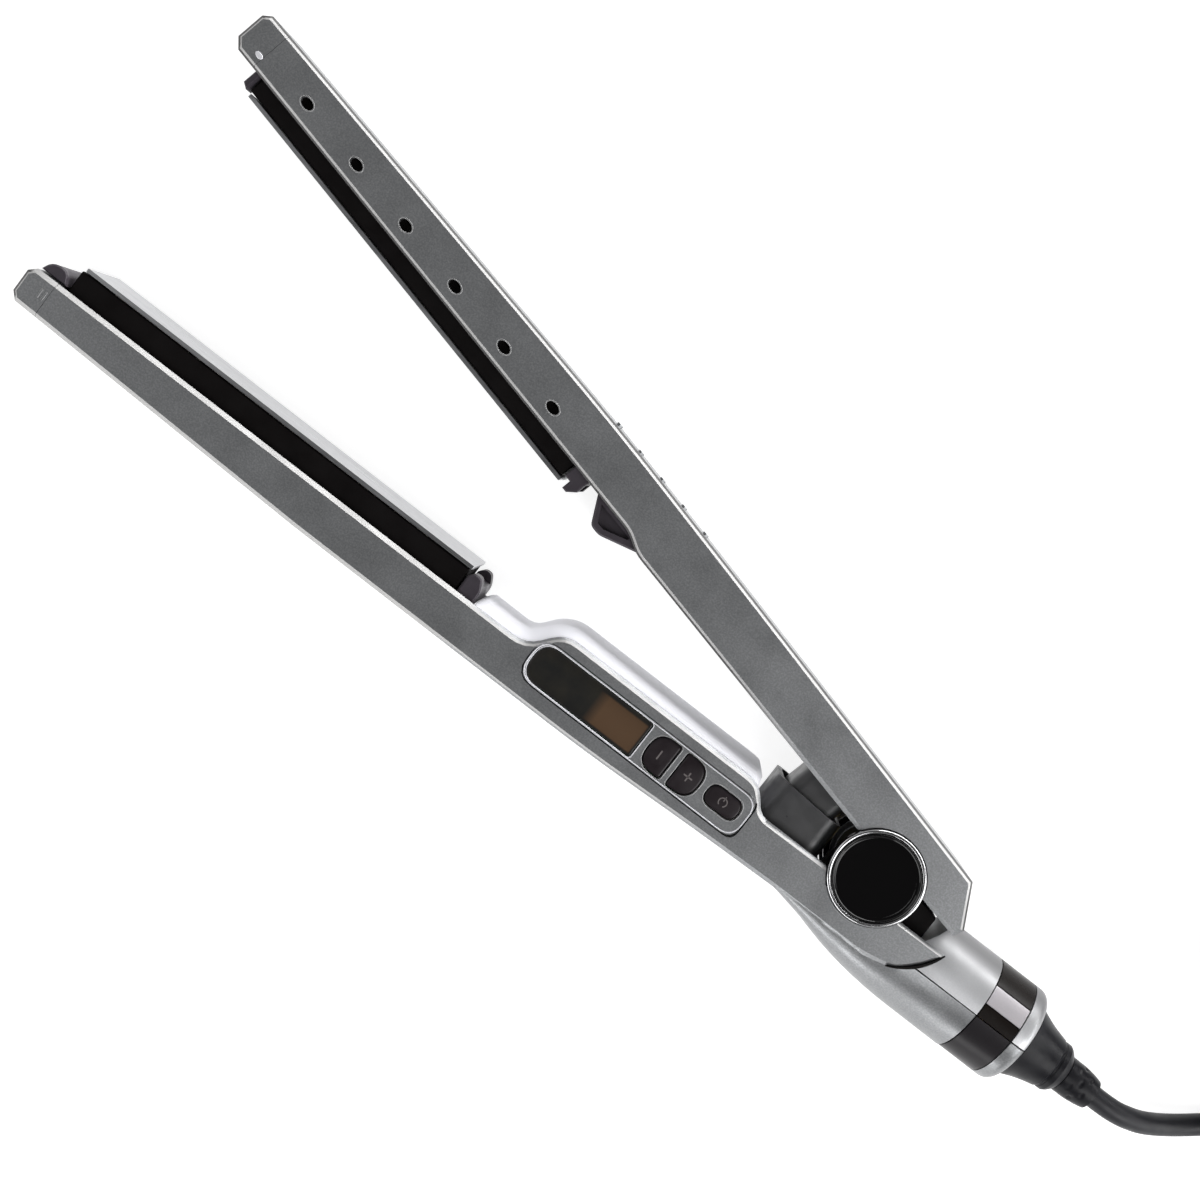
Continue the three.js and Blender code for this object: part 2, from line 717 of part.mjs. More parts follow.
piece(iron, "lower_casing", greyMetallic, lowerCasing());
piece(iron, "lower_tip_cap", greyMetallic, tipCap(lowerOutline, lowerSeam, [-15.4, -9.6]));
piece(iron, "lower_inner_cover", lightSilver, lowerInnerCover());
piece(iron, "lower_rear_cover", blackHeatproof, lowerRearCover());
piece(iron, "lower_plate_carrier", blackHeatproof, plateCarrier(-1));
piece(iron, "lower_plate", plateSilver, plate(-1));
piece(iron, "lower_heater", ceramic, heater(-1));
piece(iron, "lower_thermal_fuse", steel, capsule(-210, 14, 1.6, -7, 21));
piece(iron, "lower_thermistor", brass, capsule(-180, 5, 1, -6, 11));
piece(iron, "lower_front_clip", clipGrey, lowerFrontClip());
piece(iron, "lower_rear_clip", clipGrey, lowerRearClip());

piece(iron, "circuit_board", boardGreen, block([-94, -36], [-15, -2.6], [24.6, 26.2]));
piece(iron, "display_module", displayDark, block([-97.5, -66.5], [-13.3, -4.2], [26.5, 29.4]));
piece(iron, "display_lens", displayDark, slab(displayOutline(0), 29.7, 31.3, 0.2));
piece(iron, "button_keypad", silicone, block([-64.6, -35], [-14, -3.4], [26.5, 27.1]));
piece(iron, "control_bezel", greyMetallic, controlBezel());
for (const [name, shape] of Object.entries(buttonOutlines)) piece(iron, name, buttonBlack, button(shape));

piece(iron, "lower_hinge_housing", housingGrey, lowerHingeHousing());
piece(iron, "opening_spring", steel, tubeAlong(new SpringCurve(), 0.45, 5, 70));
piece(iron, "pivot_pin", steel, turnedOnHinge([
  [0, 2.1], [pinRadius, 2.1], [pinRadius, 29.9], [1.8, 29.9], [1.8, 20], [0, 20],
], 24));
piece(iron, "pivot_screw", steel, turnedOnHinge([
  [0, 21], [1.5, 21], [1.5, 30.4], [5, 30.5], [4.6, 31.3], [0, 31.4],
], 24));
piece(iron, "pivot_sleeve", brass, turnedOnHinge(tubeProfile(pinRadius + gap, 5, 6.1, 25.9), 24));
piece(iron, "near_washer", steel, turnedOnHinge(tubeProfile(pinRadius + gap, 7.5, 28, 28.5), 24));
piece(iron, "far_washer", steel, turnedOnHinge(tubeProfile(pinRadius + gap, 7.5, 3.5, 4), 24));
piece(iron, "near_pivot_cap", glossBlack, capDisc(30.5, armDepth + capProud - 0.25, true));
piece(iron, "near_cap_ring", chrome, capRing(30.5, armDepth + capProud));
piece(iron, "far_pivot_cap", glossBlack, capDisc(0, 1.5, false));
piece(iron, "far_cap_ring", chrome, capRing(0, 1.5));

piece(iron, "tail_top_cover", lightSilver, tailTopCover());
piece(iron, "tail_band_upper", bandBlack, bandUpper());
piece(iron, "tail_band_inlay", lightSilver, bandInlay());
piece(iron, "tail_band_lower", bandGrey, bandLower());
piece(iron, "end_collar_upper", lightSilver, endCollar(half.upper));
piece(iron, "end_collar_lower", greyMetallic, endCollar(half.lower));
piece(iron, "contact_block", blackHeatproof, block([33, 42.6], [-17, -7], [11, 21]));
piece(iron, "swivel_core", brass, swivelCore());
piece(iron, "cord_gland", softBlack, cordGland());
piece(iron, "cord_boot", softBlack, cordBoot());

piece(iron, "cord_lead", softBlack, cordLead());
piece(iron, "cord_coil", softBlack, cordCoil());
piece(iron, "coil_tie", softBlack, onCoil(coilTie(), tieAngle));
piece(iron, "plug_body", softBlack, onCoil(plugBody(), plugAngle));
piece(iron, "plug_blade_inner", brass, onCoil(plugBlade(1), plugAngle));
piece(iron, "plug_blade_outer", brass, onCoil(plugBlade(-1), plugAngle));

piece(upperArm, "upper_casing", greyMetallic, upperCasing());
piece(upperArm, "upper_tip_cap", greyMetallic, tipCap(upperOutline, upperSeam, [8, 15]));
piece(upperArm, "upper_inner_cover", greyMetallic, upperInnerCover());
piece(upperArm, "guard_nose", clipGrey, guardNose());
piece(upperArm, "upper_hinge_block", housingGrey, upperHingeBlock());
piece(upperArm, "upper_plate_carrier", blackHeatproof, plateCarrier(1));
piece(upperArm, "upper_plate", plateSilver, plate(1));
piece(upperArm, "upper_heater", ceramic, heater(1));
piece(upperArm, "upper_front_clip", clipGrey, upperFrontClip());
piece(upperArm, "upper_rear_clip", clipGrey, upperRearClip());
piece(upperArm, "front_float_pad", silicone, block([-232, -218], [12.9, 15.3], [10, 22]));
piece(upperArm, "rear_float_pad", silicone, block([-150, -136], [12.9, 15.3], [10, 22]));

export default iron;
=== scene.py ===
"""Looks of the hair straightener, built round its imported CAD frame.

Metres, in the frame's own axes: the hinge axis is Z through the origin, the lower arm runs along -X,
the lead leaves along +X, and the iron lies on z = 0.
"""

import json
import math

import bmesh
import bpy
from mathutils import Matrix, Vector


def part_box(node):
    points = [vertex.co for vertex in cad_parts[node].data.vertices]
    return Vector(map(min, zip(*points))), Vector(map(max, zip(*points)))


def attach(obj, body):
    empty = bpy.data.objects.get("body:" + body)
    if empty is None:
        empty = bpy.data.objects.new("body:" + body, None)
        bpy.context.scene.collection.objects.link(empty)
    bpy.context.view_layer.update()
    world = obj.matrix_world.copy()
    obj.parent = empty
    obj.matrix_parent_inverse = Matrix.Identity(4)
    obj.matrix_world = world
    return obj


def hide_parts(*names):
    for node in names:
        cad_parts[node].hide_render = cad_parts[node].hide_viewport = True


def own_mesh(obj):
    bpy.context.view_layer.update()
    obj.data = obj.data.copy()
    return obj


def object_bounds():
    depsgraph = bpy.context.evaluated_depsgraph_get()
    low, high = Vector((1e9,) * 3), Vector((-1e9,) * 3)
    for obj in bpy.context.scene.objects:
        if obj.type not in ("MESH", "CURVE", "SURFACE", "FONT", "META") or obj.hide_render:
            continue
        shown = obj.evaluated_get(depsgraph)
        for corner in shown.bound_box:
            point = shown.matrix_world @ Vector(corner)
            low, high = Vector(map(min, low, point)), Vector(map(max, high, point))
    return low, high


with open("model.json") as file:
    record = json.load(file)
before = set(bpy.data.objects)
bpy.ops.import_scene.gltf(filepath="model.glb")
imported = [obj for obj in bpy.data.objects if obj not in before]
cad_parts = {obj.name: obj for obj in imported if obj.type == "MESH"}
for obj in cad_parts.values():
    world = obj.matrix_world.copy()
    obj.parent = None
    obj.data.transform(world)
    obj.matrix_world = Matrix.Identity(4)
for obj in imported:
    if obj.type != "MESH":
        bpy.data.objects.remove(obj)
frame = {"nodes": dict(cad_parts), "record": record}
cad_low, cad_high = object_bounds()
nodes = frame["nodes"]

MM = 0.001
ARM_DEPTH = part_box("upper_casing")[1].z
MID_DEPTH = ARM_DEPTH / 2
CHAMFER = 1.1 * MM  # round the arms' side faces
TAIL_Y = -12 * MM  # height of the tail's axis, which the lead leaves along
OPEN_ANGLE = math.radians(13.4)
WINDOW_LOW, WINDOW_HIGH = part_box("display_lens")
PANEL_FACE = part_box("control_bezel")[1].z / MM
KEY_SKIRT = 0.6 * MM  # each key's foot is this much wider than its cap
AREA_LOW = (WINDOW_HIGH.x - 15.2 * MM, WINDOW_LOW.y + 0.5 * MM)  # lit part of the display
AREA_HIGH = (WINDOW_HIGH.x - 0.5 * MM, WINDOW_HIGH.y - 0.9 * MM)


# ---- Camera ----

CAMERA_RIGHT = Vector((0.79111, 0.60927, -0.05348))
CAMERA_UP = Vector((-0.61161, 0.78840, -0.06550))
CAMERA_PLACE = Vector((-93.57, 50.68, 482.83)) * MM
CAMERA_LENS = 55.91


def make_camera():
    right = CAMERA_RIGHT.normalized()
    back = right.cross(CAMERA_UP).normalized()
    up = back.cross(right)
    data = bpy.data.cameras.new("camera")
    data.lens = CAMERA_LENS
    data.clip_start = 10 * MM
    data.clip_end = 20
    camera = bpy.data.objects.new("camera", data)
    camera.matrix_world = Matrix((
        (right.x, up.x, back.x, CAMERA_PLACE.x),
        (right.y, up.y, back.y, CAMERA_PLACE.y),
        (right.z, up.z, back.z, CAMERA_PLACE.z),
        (0, 0, 0, 1),
    ))
    bpy.context.collection.objects.link(camera)
    bpy.context.scene.camera = camera


# ---- Node materials ----


class Finish:
    """A procedural material: its shader, and short ways to add texture to it."""

    def __init__(self, name, colour, roughness, metallic=0.0, specular=0.5):
        self.material = bpy.data.materials.new(name)
        self.material.use_nodes = True
        self.tree = self.material.node_tree
        self.shader = self.tree.nodes["Principled BSDF"]
        self.colour = (*colour, 1)
        self.set("Base Color", self.colour)
        self.set("Roughness", roughness)
        self.set("Metallic", metallic)
        self.set("Specular IOR Level", specular)
        self.place = self.node("ShaderNodeTexCoord").outputs["Object"]
        self.normal = None

    def paint(self, piece):
        piece.data.materials.clear()
        piece.data.materials.append(self.material)

    def set(self, socket, value):
        self.shader.inputs[socket].default_value = value

    def node(self, kind, **settings):
        made = self.tree.nodes.new(kind)
        for key, value in settings.items():
            setattr(made, key, value)
        return made

    def link(self, source, target):
        self.tree.links.new(source, target)

    def stretched(self, scale):
        mapping = self.node("ShaderNodeMapping")
        mapping.inputs["Scale"].default_value = scale
        self.link(self.place, mapping.inputs["Vector"])
        return mapping.outputs["Vector"]

    def noise(self, size, detail=2.0, stretch=None, roughness=0.5):
        """Noise with features about size metres across."""
        made = self.node("ShaderNodeTexNoise")
        made.inputs["Scale"].default_value = 1 / size
        made.inputs["Detail"].default_value = detail
        made.inputs["Roughness"].default_value = roughness
        self.link(self.place if stretch is None else self.stretched(stretch), made.inputs["Vector"])
        return made.outputs["Fac"]

    def ranged(self, value, low, high, start=0.3, end=0.7):
        made = self.node("ShaderNodeMapRange")
        made.inputs["From Min"].default_value = start
        made.inputs["From Max"].default_value = end
        made.inputs["To Min"].default_value = low
        made.inputs["To Max"].default_value = high
        self.link(value, made.inputs["Value"])
        return made.outputs["Result"]

    def tint(self, factor, other, amount=1.0):
        """Mixes another colour in by a 0..1 factor, over whatever the base colour is so far."""
        mix = self.node("ShaderNodeMix", data_type="RGBA")
        scaled = self.node("ShaderNodeMath", operation="MULTIPLY")
        scaled.inputs[1].default_value = amount
        self.link(factor, scaled.inputs[0])
        self.link(scaled.outputs[0], mix.inputs["Factor"])
        base = self.shader.inputs["Base Color"]
        if base.is_linked:
            self.link(base.links[0].from_socket, mix.inputs["A"])
        else:
            mix.inputs["A"].default_value = self.colour
        mix.inputs["B"].default_value = (*other, 1)
        self.link(mix.outputs["Result"], base)
        return self

    def rough(self, value, low, high, start=0.3, end=0.7):
        self.link(self.ranged(value, low, high, start, end), self.shader.inputs["Roughness"])
        return self

    def bump(self, height, distance, strength=1.0):
        made = self.node("ShaderNodeBump")
        made.inputs["Distance"].default_value = distance
        made.inputs["Strength"].default_value = strength
        self.link(height, made.inputs["Height"])
        if self.normal is not None:
            self.link(self.normal, made.inputs["Normal"])
        self.normal = made.outputs["Normal"]
        self.link(self.normal, self.shader.inputs["Normal"])
        return self

    def glow(self, strength):
        """Adds a white light of the surface's own."""
        self.set("Emission Color", (1, 1, 1, 1))
        self.set("Emission Strength", strength)
        return self

    def split(self, output):
        """The X, Y and Z of the piece's own coordinates or of its normal."""
        parts = self.node("ShaderNodeSeparateXYZ")
        self.link(self.place.node.outputs[output], parts.inputs["Vector"])
        return parts.outputs

    def calculate(self, operation, first, second=0.0):
        made = self.node("ShaderNodeMath", operation=operation)
        for socket, value in zip(made.inputs, (first, second)):
            if isinstance(value, float):
                socket.default_value = value
            else:
                self.link(value, socket)
        return made.outputs[0]


def metallic_paint(name, colour, grain=0.35, roughness=0.34, metallic=0.7):
    """Sprayed paint with fine metal flake under it."""
    made = Finish(name, colour, roughness, metallic)
    light = [min(1.0, c * 1.9) for c in colour]
    dark = [c * 0.55 for c in colour]
    made.tint(made.ranged(made.noise(0.42 * MM, 3), 0, 1, 0.42, 0.66), light, grain)
    made.tint(made.ranged(made.noise(0.6 * MM, 3, roughness=0.7), 0, 1, 0.45, 0.75), dark, grain)
    made.rough(made.noise(9 * MM, 4), roughness - 0.05, roughness + 0.07)
    made.bump(made.noise(0.35 * MM, 2), 0.006 * MM, 0.5)
    made.bump(made.noise(4 * MM, 2), 0.02 * MM, 0.35)
    return made


# Painted highlight and painted shade on the casing's chamfers: the paint's metallic off and on the
# highlight, then the two painted colours
FULL_METALLIC, EDGE_METALLIC = 0.65, 0.15
EDGE_HIGHLIGHT = (0.48, 0.475, 0.47)
EDGE_SHADE = (0.025, 0.024, 0.024)
TAIL_FADE = (-60 * MM, -30 * MM)  # along the arm, where the painted highlight on the tail's side chamfer fades out
PLATE_FADE = (-125 * MM, -115 * MM)  # along the arm, where the painted highlight on the chamfer narrows past the plate


def edge_lit_paint(name, colour, highlight_width, tip_end):
    """Grey metallic paint with a painted highlight on the chamfers, over a width from the side face.

    A width less than the chamfer's leaves a line of painted shade outside it. A full width halves past the
    plate.
    Past tip_end along the arm the chamfers that face the tip get painted shade too.
    """
    made = metallic_paint(name, colour, 0.3, 0.36, FULL_METALLIC)
    facing, place = made.split("Normal"), made.split("Object")
    depth = made.calculate("ABSOLUTE", made.calculate("SUBTRACT", place["Z"], MID_DEPTH))

    def both(first, second):
        return made.calculate("MULTIPLY", first, second)

    def without(value, removed):
        return both(value, made.calculate("SUBTRACT", 1.0, removed))

    def deeper_than(margin, blur):
        """One where the surface is further in from the side face than a margin, in millimetres."""
        edge = MID_DEPTH - margin * MM
        return made.ranged(depth, 1, 0, edge - blur * MM, edge)

    slope = made.calculate("ABSOLUTE", facing["Z"])  # 1 on side faces, 0.7 on chamfers, 0 on walls
    slanted = both(made.ranged(slope, 0, 1, 0.45, 0.55), made.ranged(slope, 1, 0, 0.86, 0.96))
    rim = made.ranged(depth, 0, 1, MID_DEPTH - CHAMFER - 0.2 * MM, MID_DEPTH - CHAMFER)
    on_tail = both(made.ranged(facing["Y"], 1, 0, -0.3, 0), made.ranged(place["X"], 0, 1, *TAIL_FADE))
    # Painted highlight: the chamfers' slopes next to the side face, but not those on the tail's side
    bright = without(both(rim, slanted), on_tail)
    faces_tip = made.ranged(facing["X"], 1, 0, -0.5, -0.3)
    at_tip = both(faces_tip, made.ranged(place["X"], 1, 0, tip_end, tip_end + MM))
    # Painted shade on the chamfers at the tip's end
    dark = both(at_tip, deeper_than(0.3, 0.15))
    # Past a narrow highlight the rest of the chamfer gets painted shade; a full-width highlight narrows past
    # the plate instead
    if highlight_width < CHAMFER:
        dark = made.calculate("MAXIMUM", dark, deeper_than(highlight_width / MM, 0.15))
    else:
        bright = without(bright, both(made.ranged(place["X"], 0, 1, *PLATE_FADE), deeper_than(0.5, 0.1)))
    # Paints the highlight in, less metallic, then the painted shade over it
    made.tint(bright, EDGE_HIGHLIGHT, 0.9)
    made.link(made.ranged(bright, FULL_METALLIC, EDGE_METALLIC, 0, 1), made.shader.inputs["Metallic"])
    return made.tint(both(bright, dark), EDGE_SHADE, 0.95)


def shaded_silver(name, colour, dark):
    """Silver paint with painted shade: darker from the tail's middle seam round to its edge."""
    made = metallic_paint(name, colour, 0.08, 0.36, 0.35)
    # Painted shade: the dark colour's share grows from near the seam out to the tail's edge
    around = made.ranged(made.split("Object")["Y"], 0, 1, TAIL_Y + 2 * MM, TAIL_Y + 12 * MM)
    return made.tint(around, dark)


def moulded(name, colour, roughness, texture=0.5 * MM, depth=0.02 * MM, specular=0.3, mottle=0.5):
    """Injection-moulded plastic with a fine spark-eroded texture."""
    made = Finish(name, colour, roughness, specular=specular)
    made.tint(made.ranged(made.noise(6 * MM, 4), 0, 1), [c * 1.5 + 0.004 for c in colour], mottle)
    made.rough(made.noise(3 * MM, 5), roughness - 0.07, roughness + 0.1)
    made.bump(made.noise(texture, 3), depth, 0.7)
    return made


def gloss(name, colour, roughness=0.06, specular=0.35):
    """Polished plastic with faint handling marks."""
    made = Finish(name, colour, roughness, specular=specular)
    made.rough(made.noise(5 * MM, 6), roughness, roughness + 0.08, 0.45, 0.8)
    made.bump(made.noise(14 * MM, 2), 0.01 * MM, 0.3)
    return made


def metal(name, colour, roughness, along=(1, 1, 1), depth=0.004 * MM):
    """Bare metal with a fine lay."""
    made = Finish(name, colour, roughness, 1.0)
    made.tint(made.ranged(made.noise(2.5 * MM, 5), 0, 1), [c * 0.8 for c in colour], 0.5)
    made.rough(made.noise(1.2 * MM, 3, along), roughness - 0.04, roughness + 0.1)
    made.bump(made.noise(0.25 * MM, 2, along), depth, 0.5)
    return made


WAVE_SCALE = 0.31  # a wave texture of this scale repeats about once a metre


def fabric(name, colour, pitch):
    """Woven strap with threads a pitch apart."""
    made = Finish(name, colour, 0.9)
    made.set("Sheen Weight", 0.4)
    for direction in ("X", "Y"):
        wave = made.node("ShaderNodeTexWave", bands_direction=direction)
        wave.inputs["Scale"].default_value = WAVE_SCALE / pitch
        made.link(made.place, wave.inputs["Vector"])
        made.bump(wave.outputs["Fac"], 0.12 * MM, 0.8)
    made.tint(made.ranged(made.noise(0.7 * MM, 3), 0, 1), [c * 2.2 + 0.01 for c in colour], 0.5)
    return made


def make_finishes():
    grey = (0.252, 0.257, 0.264)
    return {
        "grey_casing": edge_lit_paint("grey_paint", grey, CHAMFER, -247 * MM),
        "upper_casing": edge_lit_paint("upper_grey_paint", grey, 0.5 * MM, -237 * MM),
        # Painted light: the inner cover glows a little of its own, so that it stays white
        "cover_white": moulded(
            "cover_white", (0.9, 0.9, 0.955), 0.6, 0.4 * MM, 0.004 * MM, 0.25, 0.05).glow(0.12),
        "silver_cover": metallic_paint("silver_paint", (0.8, 0.8, 0.84), 0.05, 0.34, 0.15),
        "tail_silver": shaded_silver("tail_silver", (0.55, 0.555, 0.57), (0.17, 0.17, 0.175)),
        "inlay_silver": metallic_paint("inlay_silver", (0.42, 0.4, 0.42), 0.05, 0.4, 0.2),
        "hinge_housing": moulded(
            "housing_grey", (0.064, 0.064, 0.067), 0.34, 0.5 * MM, 0.004 * MM, 0.8, 0.1),
        "black_carrier": moulded("carrier_black", (0.004, 0.003, 0.003), 0.6, specular=0.1),
        "plate_silver": metal("plate_metal", (0.56, 0.565, 0.58), 0.3, (0.05, 1, 1), 0.001 * MM),
        "heater_ceramic": moulded("heater_ceramic", (0.74, 0.71, 0.63), 0.85, 0.4 * MM),
        "steel": metal("turned_steel", (0.56, 0.56, 0.58), 0.24, (1, 1, 0.1)),
        "brass": metal("turned_brass", (0.6, 0.45, 0.2), 0.28, (1, 1, 0.1)),
        "clip_grey": moulded("clip_plastic", (0.05, 0.043, 0.052), 0.4, 0.8 * MM, 0.03 * MM),
        "circuit_board": moulded("solder_mask", (0.03, 0.14, 0.06), 0.4),
        "display_dark": moulded("display_back", (0.05, 0.045, 0.035), 0.3),
        "display_lens": smoked_window(AREA_LOW, AREA_HIGH),
        "sign_print": moulded("sign_print", (0.13, 0.115, 0.115), 0.5),
        "silicone": moulded("silicone_rubber", (0.5, 0.48, 0.45), 0.7),
        "button_black": moulded("button_black", (0.014, 0.01, 0.012), 0.35, 0.5 * MM, 0.012 * MM),
        "gloss_black": gloss("cap_black", (0.002, 0.0018, 0.002), 0.04),
        "chrome": metal("cap_chrome", (0.6, 0.6, 0.61), 0.1),
        "band_black": gloss("band_black", (0.008, 0.006, 0.005), 0.25, 0.1),
        "band_grey": gloss("band_grey", (0.02, 0.018, 0.02), 0.28, 0.15),
        "gland_black": moulded("gland_black", (0.008, 0.008, 0.01), 0.36, 0.6 * MM, specular=0.16),
        "cord_black": moulded("cord_sheath", (0.012, 0.012, 0.015), 0.45, 1.2 * MM, 0.03 * MM),
        "tie_black": fabric("tie_strap", (0.016, 0.016, 0.017), 0.6 * MM),
        "plug_blades": metal("blade_metal", (0.66, 0.6, 0.46), 0.25),
    }


def smoked_window(area_low, area_high):
    """Smoked display glass over a lit area whose corners are given in metres."""
    made = gloss("display_window", (0.026, 0.024, 0.02), 0.12)
    place = made.split("Object")
    blur, soft_end = 0.5 * MM, 3 * MM
    inside = made.ranged(place["X"], 0, 1, area_low[0], area_low[0] + soft_end)
    for axis, start, end in (
            ("X", area_high[0], area_high[0] - blur),
            ("Y", area_low[1], area_low[1] + blur),
            ("Y", area_high[1], area_high[1] - blur)):
        inside = made.calculate("MULTIPLY", inside, made.ranged(place[axis], 0, 1, start, end))
    made.tint(made.ranged(made.noise(5 * MM, 3), 0, 1), (0.012, 0.013, 0.014), 0.7)
    return made.tint(inside, (0.11, 0.064, 0.036), 0.85)


# Pieces and nodes that are painted apart from the rest of their slot
OWN_FINISHES = {
    "crowned_inner_cover": "cover_white", "tail_top_cover": "tail_silver", "bright_collar": "tail_silver",
    "tail_band_inlay": "inlay_silver", "upper_casing": "upper_casing", "upper_tip_cap": "upper_casing",
}


def slot_of(node):
    for part in frame["record"]["subparts"]:
        if part["node"] == node:
            return part["material_slot"]
    raise ValueError(node)


def dress(piece, slot):
    finishes[OWN_FINISHES.get(piece.name, slot)].paint(piece)


# ---- Mesh helpers ----


def eased(value):
    """Goes smoothly from 0 to 1 as the value does, and stays there past either end."""
    value = min(1.0, max(0.0, value))
    return value * value * (3 - 2 * value)


def soften(piece, width=0.0, segments=3, angle=30):
    """Shades a piece smoothly and rounds its sharp edges."""
    piece.data.shade_smooth()
    if width:
        bevel = piece.modifiers.new("edges", "BEVEL")
        bevel.width = width
        bevel.segments = segments
        bevel.angle_limit = math.radians(angle)
        bevel.harden_normals = True
    else:
        piece.data.set_sharp_from_angle(angle=math.radians(angle))
    return piece


def add_piece(name, mesh, slot, body, *stands_for):
    piece = bpy.data.objects.new(name, mesh)
    bpy.context.collection.objects.link(piece)
    dress(piece, slot)
    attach(piece, body)
    if stands_for:
        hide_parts(*stands_for)
    return piece


def mesh_of(name, points, faces):
    mesh = bpy.data.meshes.new(name)
    mesh.from_pydata([Vector(p) for p in points], [], faces)
    built = bmesh.new()
    built.from_mesh(mesh)
    bmesh.ops.remove_doubles(built, verts=built.verts, dist=1e-7)
    bmesh.ops.recalc_face_normals(built, faces=built.faces)
    built.to_mesh(mesh)
    built.free()
    return mesh


def ring_faces(rings, count, closed):
    """Faces between neighbouring rings of points. The last ring joins the first, or both ends are capped."""
    faces = []
    for k in range(rings if closed else rings - 1):
        first, second = k * count, (k + 1) % rings * count
        for i in range(count):
            j = (i + 1) % count
            faces.append((first + i, first + j, second + j, second + i))
    if not closed:
        faces.append(tuple(range(count)))
        faces.append(tuple(range((rings - 1) * count, rings * count)))
    return faces


def curved(start, control, end, t):
    """A point on the curve between two points that a third one pulls."""
    return start * (1 - t) ** 2 + control * 2 * t * (1 - t) + end * t * t


def outline(corners, arc=8):
    """A closed outline in millimetres. A corner's third number rounds it from that far back."""
    points = []
    for i, (x, y, *rounding) in enumerate(corners):
        corner = Vector((x, y))
        if not rounding:
            points.append(corner)
            continue
        before, after = (
            corner + (Vector(other[:2]) - corner).normalized() * rounding[0]
            for other in (corners[i - 1], corners[(i + 1) % len(corners)]))
        points += [curved(before, corner, after, k / arc) for k in range(arc + 1)]
    return points


def rectangle(low, high, left, right):
    """The outline of a box in the XY plane, in millimetres, its left and right corners rounded."""
    low, high = low / MM, high / MM
    return outline([
        (low.x, low.y, left), (high.x, low.y, right), (high.x, high.y, right), (low.x, high.y, left)])


def prism_mesh(name, points, low, high):
    """An XY outline in millimetres given thickness between two heights in metres."""
    count = len(points)
    places = [(point.x * MM, point.y * MM, level) for level in (low, high) for point in points]
    faces = [tuple(range(count)), tuple(range(count, 2 * count))]
    for i in range(count):
        j = (i + 1) % count
        faces.append((i, j, count + j, count + i))
    return mesh_of(name, places, faces)


def turned_mesh(name, profile, place, start=0, end=360, segments=96):
    """Turns a closed profile of (radius, height) pairs in millimetres round an axis, or part of the way."""
    points, faces = [], []
    count = len(profile)
    whole = end - start == 360
    rings = segments if whole else segments + 1
    for i in range(rings):
        angle = math.radians(start + (end - start) * i / segments)
        for radius, height in profile:
            points.append(place(radius * MM * math.sin(angle), radius * MM * math.cos(angle), height * MM))
    for i in range(segments):
        j = (i + 1) % rings
        for k in range(count):
            m = (k + 1) % count
            faces.append((i * count + k, j * count + k, j * count + m, i * count + m))
    if not whole:
        faces.append(tuple(range(count)))
        faces.append(tuple(range((rings - 1) * count, rings * count)))
    return mesh_of(name, points, faces)


def on_hinge(x, y, height):
    """A place round the hinge axis."""
    return x, y, height


def on_tail(across, up, along):
    """A place round the tail's axis."""
    return along, TAIL_Y + across, MID_DEPTH + up


WELD_REACH = 0.0005 * MM
FLAT_ANGLE = 0.6  # degrees between facets that belong to one flat face
BEVEL_ANGLE = 30
CORNER_ANGLE = 38
FACE_WEIGHT = 70  # how far large faces lead the shading at their corners
# CAD nodes whose edges are rounded, and how far in millimetres
ROUNDED_NODES = {
    "lower_plate_carrier": 0.5, "upper_plate_carrier": 0.5,
    "plug_blade_inner": 0.3, "plug_blade_outer": 0.3, "lower_rear_cover": 0.4,
}


def refine_node(node, width=0.0):
    """Joins a CAD node's facets again, rounds its edges if a width is given and shades it smoothly."""
    mesh = node.data
    if mesh.attributes.get("custom_normal"):
        mesh.attributes.remove(mesh.attributes["custom_normal"])
    mesh.shade_smooth()
    weld = node.modifiers.new("weld", "WELD")
    weld.merge_threshold = WELD_REACH
    if width:
        dissolve = node.modifiers.new("flats", "DECIMATE")
        dissolve.decimate_type = "DISSOLVE"
        dissolve.angle_limit = math.radians(FLAT_ANGLE)
        bevel = node.modifiers.new("edges", "BEVEL")
        bevel.width = width
        bevel.segments = 3
        bevel.angle_limit = math.radians(BEVEL_ANGLE)
    split = node.modifiers.new("corners", "EDGE_SPLIT")
    split.split_angle = math.radians(CORNER_ANGLE)
    normals = node.modifiers.new("normals", "WEIGHTED_NORMAL")
    normals.weight = FACE_WEIGHT


def swept_outline(name, outline_at, profile, capped=True):
    """Lofts an outline that grows and shrinks, by a profile of (margin, height) pairs in millimetres."""
    rings = [
        [(point.x * MM, point.y * MM, height * MM) for point in outline_at(margin)]
        for margin, height in profile]
    faces = ring_faces(len(rings), len(rings[0]), not capped)
    return mesh_of(name, [place for ring in rings for place in ring], faces)


def arc_angles(start, end, steps):
    return [math.radians(start + (end - start) * k / steps) for k in range(steps + 1)]


def rounded_top(low, high, radius, steps=5):
    """The profile of a plate whose upper rim is rounded."""
    return [(0, low)] + [
        (-radius * (1 - math.cos(a)), high - radius * (1 - math.sin(a))) for a in arc_angles(0, 90, steps)]


# ---- Controls ----


def box_outline(low, high, left, right):
    """The rounded outline of a box, as a function of how far it is grown."""
    def grown(margin):
        reach = Vector((margin, margin, 0)) * MM
        return rectangle(low - reach, high + reach, left + margin, right + margin)
    return grown


